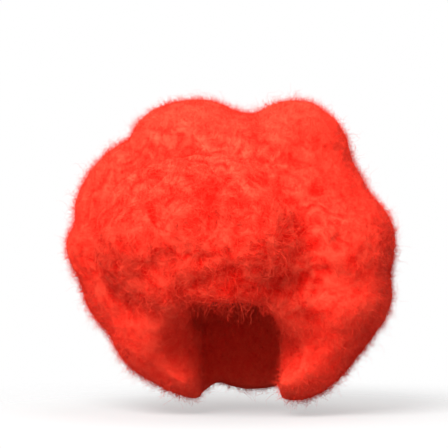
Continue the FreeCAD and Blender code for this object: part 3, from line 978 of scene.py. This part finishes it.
# How far the rows of stitches lie from a band's edge, and from the head's form.
SEAM = 2 * MM
INNER = -0.1 * MM


def ear_path(centre_y, centre_z, radius, side):
    """A sewing line over one ear: half a circle in the side view."""
    return lambda travel: on_head(
        centre_y + radius * math.cos(math.pi * travel),
        centre_z + radius * math.sin(math.pi * travel), side, INNER)


def straight_path(start, run, side):
    """A sewing line that is straight in the side view: its start, and how far it runs in Y and Z."""
    return lambda travel: on_head(start[0] + run[0] * travel, start[1] + run[1] * travel, side, INNER)


def crown_path(reach, y):
    """A sewing line over the crown from ear to ear."""
    return lambda travel: over_head(reach * math.cos(math.pi * travel), y, INNER)


def centre_path(x, start, end):
    """A sewing line along the middle of the head."""
    return lambda travel: over_head(x, start + (end - start) * travel, INNER)


def stitch_paths():
    """The sewing lines on the inside of the cap, each a function of 0 to 1."""
    paths = []
    low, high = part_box("forehead_band")
    for z in (low[2] + SEAM, high[2] - SEAM):
        paths.append(level_path(z, high[1] - SEAM, INNER))
    low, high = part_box("nape_band")
    for z in (low[2] + 4 * SEAM, high[2] - SEAM):
        paths.append(level_path(z, low[1] + SEAM, INNER))
    low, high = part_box("left_ear_band")
    centre_y = (low[1] + high[1]) / 2
    outer_radius = (high[1] - low[1]) / 2
    inner_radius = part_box("left_nape_side_band")[0][1] - centre_y
    for side in (1, -1):
        for radius in (inner_radius + SEAM, outer_radius - SEAM):
            paths.append(ear_path(centre_y, low[2], radius, side))
    width = high[1] - low[1] - 2 * inner_radius - (outer_radius - inner_radius)
    low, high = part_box("left_temple_band")
    run = (high[1] - low[1] - width, low[2] - high[2])
    for side in (1, -1):
        for shift in (SEAM, width - SEAM):
            paths.append(straight_path((low[1] + shift, high[2]), run, side))
    low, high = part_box("crown_tape")
    for y in (low[1] + SEAM, high[1] - SEAM):
        paths.append(crown_path(high[0] - SEAM, y))
    for node in ("front_center_tape", "back_center_tape"):
        low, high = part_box(node)
        for x in (low[0] + SEAM, high[0] - SEAM):
            paths.append(centre_path(x, low[1], high[1]))
    return paths


def level_path(z, edge_y, offset):
    """A sewing line at one height round the front or the back of the head, as far as a place along Y."""
    half = HEAD + Vector((offset, offset, offset))
    level = math.sqrt(1 - (z / half.z) ** 2)
    reach = math.acos(abs(edge_y) / (half.y * level))
    facing = math.copysign(1.0, edge_y)

    def point(travel):
        turn = reach * (2 * travel - 1)
        return Vector((half.x * level * math.sin(turn), facing * half.y * level * math.cos(turn), z))
    return point


PATH_STEPS = 200


def even_places(path, pitch):
    """Points and directions at an even pitch along a path."""
    samples = [path(step / PATH_STEPS) for step in range(PATH_STEPS + 1)]
    travelled = 0.0
    wanted = pitch / 2
    places = []
    for start, end in zip(samples, samples[1:]):
        length = (end - start).length
        while length and travelled + length >= wanted:
            places.append((start.lerp(end, (wanted - travelled) / length), (end - start).normalized()))
            wanted += pitch
        travelled += length
    return places


def one_stitch(length, thickness):
    """A single stitch along X: a thread that rises out of the cloth and dips back into it."""
    deselect()
    bpy.ops.curve.primitive_nurbs_path_add(radius=1.0)
    path = bpy.context.active_object
    points = path.data.splines[0].points
    last = len(points) - 1
    for number, point in enumerate(points):
        travel = number / last
        point.co = ((travel - 0.5) * length, 0, thickness * (math.sin(math.pi * travel) - 0.6), 1)
    path.data.bevel_depth = thickness / 2
    path.data.bevel_resolution = 1
    path.data.resolution_u = 2
    path.data.use_fill_caps = True
    bpy.ops.object.convert(target="MESH")
    return named_piece("stitch")


class WIG_OT_bands(bpy.types.Operator):
    """Finish the sewn bands, tapes and ear tabs, and sew their edges with rows of stitches"""
    bl_idname = "wig.bands"
    bl_label = "Bands and stitches"

    def execute(self, context):
        cap = context.scene.wig_cap
        tape = fabric_material("woven_tape", cap.fabric_colour, 0.7 * MM, 0.12 * MM)
        nodes = ["forehead_band", "nape_band", "crown_tape", "front_center_tape", "back_center_tape"]
        nodes += [side + name for side in SIDES
                  for name in ("_temple_band", "_ear_tab", "_ear_band", "_nape_side_band")]
        for node in nodes:
            dress(node, tape)
        stitch = one_stitch(cap.stitch, cap.thread)
        copies = []
        for path in stitch_paths():
            for place, direction in even_places(path, cap.stitch + cap.stitch_gap):
                outward = Vector([place[axis] / HEAD[axis] ** 2 for axis in range(3)])
                inward = -outward.normalized()
                across = inward.cross(direction).normalized()
                upright = direction.cross(across)
                turn = Matrix((direction, across, upright)).transposed().to_4x4()
                copy = stitch.copy()
                copy.data = stitch.data.copy()
                copy.matrix_world = Matrix.Translation(place) @ turn
                bpy.context.scene.collection.objects.link(copy)
                copies.append(copy)
        bpy.data.objects.remove(stitch)
        deselect()
        for copy in copies:
            copy.select_set(True)
        bpy.context.view_layer.objects.active = copies[0]
        bpy.ops.object.join()
        bpy.ops.object.transform_apply(location=True, rotation=True, scale=True)
        row = named_piece("edge_stitching")
        bpy.ops.object.shade_smooth()
        thread = thread_material("sewing_thread", [3 * part for part in cap.fabric_colour])
        row.data.materials.append(thread)
        finish_piece(row, "stitch_thread")
        return {"FINISHED"}


class WIG_OT_wefts(bpy.types.Operator):
    """Finish the sewn weft tracks and the crown patch"""
    bl_idname = "wig.wefts"
    bl_label = "Weft tracks"

    def execute(self, context):
        weft = fabric_material("weft_seam", context.scene.wig_cap.weft_colour, 1.1 * MM, 0.35 * MM)
        for node in TRACK_NODES + ["crown_patch"]:
            dress(node, weft)
        return {"FINISHED"}


class WIG_OT_adjusters(bpy.types.Operator):
    """Finish the elastic straps, loop strips, nape elastic, hooks and bar tacks"""
    bl_idname = "wig.adjusters"
    bl_label = "Adjusters"

    def execute(self, context):
        cap = context.scene.wig_cap
        elastic = fabric_material("ribbed_elastic", cap.fabric_colour, 0.6 * MM, 0.2 * MM, ribs=1.1 * MM)
        plastic = moulded_plastic_material("hook_plastic", [1.4 * part for part in cap.fabric_colour])
        thread = thread_material("tack_thread", [3 * part for part in cap.fabric_colour])
        for side in SIDES:
            dress(side + "_adjuster_strap", elastic)
            dress(side + "_loop_strip", elastic)
            dress(side + "_adjuster_hook", plastic)
        dress("nape_elastic", elastic)
        dress("strap_bar_tacks", thread)
        return {"FINISHED"}


# ---- the studio ----------------------------------------------------------------------------------
def area_light(name, place, size, power):
    """A round soft light aimed at the wig's middle."""
    light = bpy.data.lights.new(name, "AREA")
    light.shape = "DISK"
    light.size = size
    light.energy = power
    lamp = bpy.data.objects.new(name, light)
    bpy.context.scene.collection.objects.link(lamp)
    lamp.location = place
    lamp.rotation_euler = (-Vector(place)).to_track_quat("-Z", "Y").to_euler()


FLOOR_RADIUS = 0.7
FLOOR_FADE = (0.2, 0.6)
LIGHT_SIZE = 1.4
KEY_PLACE = (-0.4, -1.75, 1.45)
TOP_PLACE = (0.2, 0.1, 2.0)


def studio_floor(height):
    """A pale floor that fades out into the white background."""
    deselect()
    bpy.ops.mesh.primitive_circle_add(
        vertices=96, radius=FLOOR_RADIUS, fill_type="NGON", location=(0, 0, height))
    floor = named_piece("studio_floor")
    material, graph, shader = new_material("studio_floor")
    place = graph.add("ShaderNodeTexCoord").outputs["Object"]
    distance = graph.vector("LENGTH", place)
    fade = graph.add("ShaderNodeMapRange", {
        "Value": distance, "From Min": FLOOR_FADE[0], "From Max": FLOOR_FADE[1], "To Min": 0.5,
        "To Max": 0.0}, interpolation_type="SMOOTHSTEP").outputs[0]
    graph.join(fade, shader.inputs["Alpha"])
    shader.inputs["Base Color"].default_value = (0.6, 0.6, 0.6, 1)
    shader.inputs["Roughness"].default_value = 0.95
    shader.inputs["Specular IOR Level"].default_value = 0.1
    floor.data.materials.append(material)
    floor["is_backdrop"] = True


def studio_world():
    """A soft dome of light, bright above and dim below, seen as plain white."""
    world = bpy.data.worlds.new("studio_world")
    world.use_nodes = True
    graph = Graph(world.node_tree)
    upward = graph.add("ShaderNodeSeparateXYZ", {
        "Vector": graph.add("ShaderNodeTexCoord").outputs["Generated"]}).outputs["Z"]
    dome = graph.add("ShaderNodeMapRange", {
        "Value": upward, "From Min": -0.7, "From Max": 0.9, "To Min": 0.0, "To Max": 0.8}).outputs[0]
    seen = graph.add("ShaderNodeLightPath").outputs["Is Camera Ray"]
    strength = graph.add("ShaderNodeMix", {0: seen, 2: dome, 3: 1.0}, data_type="FLOAT").outputs[0]
    background = graph.add("ShaderNodeBackground", {"Color": (1, 1, 1, 1), "Strength": strength})
    graph.add("ShaderNodeOutputWorld", {"Surface": background.outputs[0]})
    bpy.context.scene.world = world


def studio_camera(studio):
    """A level camera that frames the wig."""
    data = bpy.data.cameras.new("camera")
    data.sensor_width = 36.0
    data.lens = data.sensor_width * studio.distance / studio.frame_width
    camera = bpy.data.objects.new("camera", data)
    bpy.context.scene.collection.objects.link(camera)
    across = Vector((math.cos(studio.azimuth), math.sin(studio.azimuth), 0))
    back = Vector((math.sin(studio.azimuth), -math.cos(studio.azimuth), 0))
    target = across * studio.aim[0] + Vector((0, 0, studio.aim[1]))
    camera.location = target + back * studio.distance
    camera.rotation_euler = (math.pi / 2, 0, studio.azimuth)
    bpy.context.scene.camera = camera


class WIG_OT_studio(bpy.types.Operator):
    """Make the floor, the lights and the camera"""
    bl_idname = "wig.studio"
    bl_label = "Studio"

    def execute(self, context):
        studio = context.scene.wig_studio
        context.scene.view_settings.view_transform = "Standard"
        studio_floor(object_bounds()[0][2] - MM)
        studio_world()
        area_light("key_light", KEY_PLACE, LIGHT_SIZE, studio.key_power)
        area_light("top_light", TOP_PLACE, LIGHT_SIZE, studio.top_power)
        studio_camera(studio)
        return {"FINISHED"}


# ---- the add-on ----------------------------------------------------------------------------------
OPERATORS = (
    WIG_OT_hair_mass, WIG_OT_loose_fibres, WIG_OT_cap_net, WIG_OT_bands, WIG_OT_wefts, WIG_OT_adjusters,
    WIG_OT_studio,
)


class WIG_PT_pieces(bpy.types.Panel):
    """The wig's pieces, in the order they are made"""
    bl_idname = "WIG_PT_pieces"
    bl_label = "Costume wig"
    bl_space_type = "VIEW_3D"
    bl_region_type = "UI"
    bl_category = "Wig"

    def draw(self, context):
        for operator in OPERATORS:
            self.layout.operator(operator.bl_idname)
        for settings in (context.scene.wig_hair, context.scene.wig_cap, context.scene.wig_studio):
            for name in settings.__annotations__:
                self.layout.prop(settings, name)


SETTINGS = (("wig_hair", WigHairSettings), ("wig_cap", WigCapSettings), ("wig_studio", WigStudioSettings))


def register():
    for _, group in SETTINGS:
        bpy.utils.register_class(group)
    for cls in OPERATORS + (WIG_PT_pieces,):
        bpy.utils.register_class(cls)
    for name, group in SETTINGS:
        setattr(bpy.types.Scene, name, bpy.props.PointerProperty(type=group))


def unregister():
    for name, _ in SETTINGS:
        delattr(bpy.types.Scene, name)
    for cls in (WIG_PT_pieces,) + OPERATORS:
        bpy.utils.unregister_class(cls)
    for _, group in SETTINGS:
        bpy.utils.unregister_class(group)


def main():
    register()
    bpy.ops.wig.hair_mass()
    bpy.ops.wig.loose_fibres()
    bpy.ops.wig.cap_net()
    bpy.ops.wig.bands()
    bpy.ops.wig.wefts()
    bpy.ops.wig.adjusters()
    bpy.ops.wig.studio()


if __name__ == "__main__":
    main()
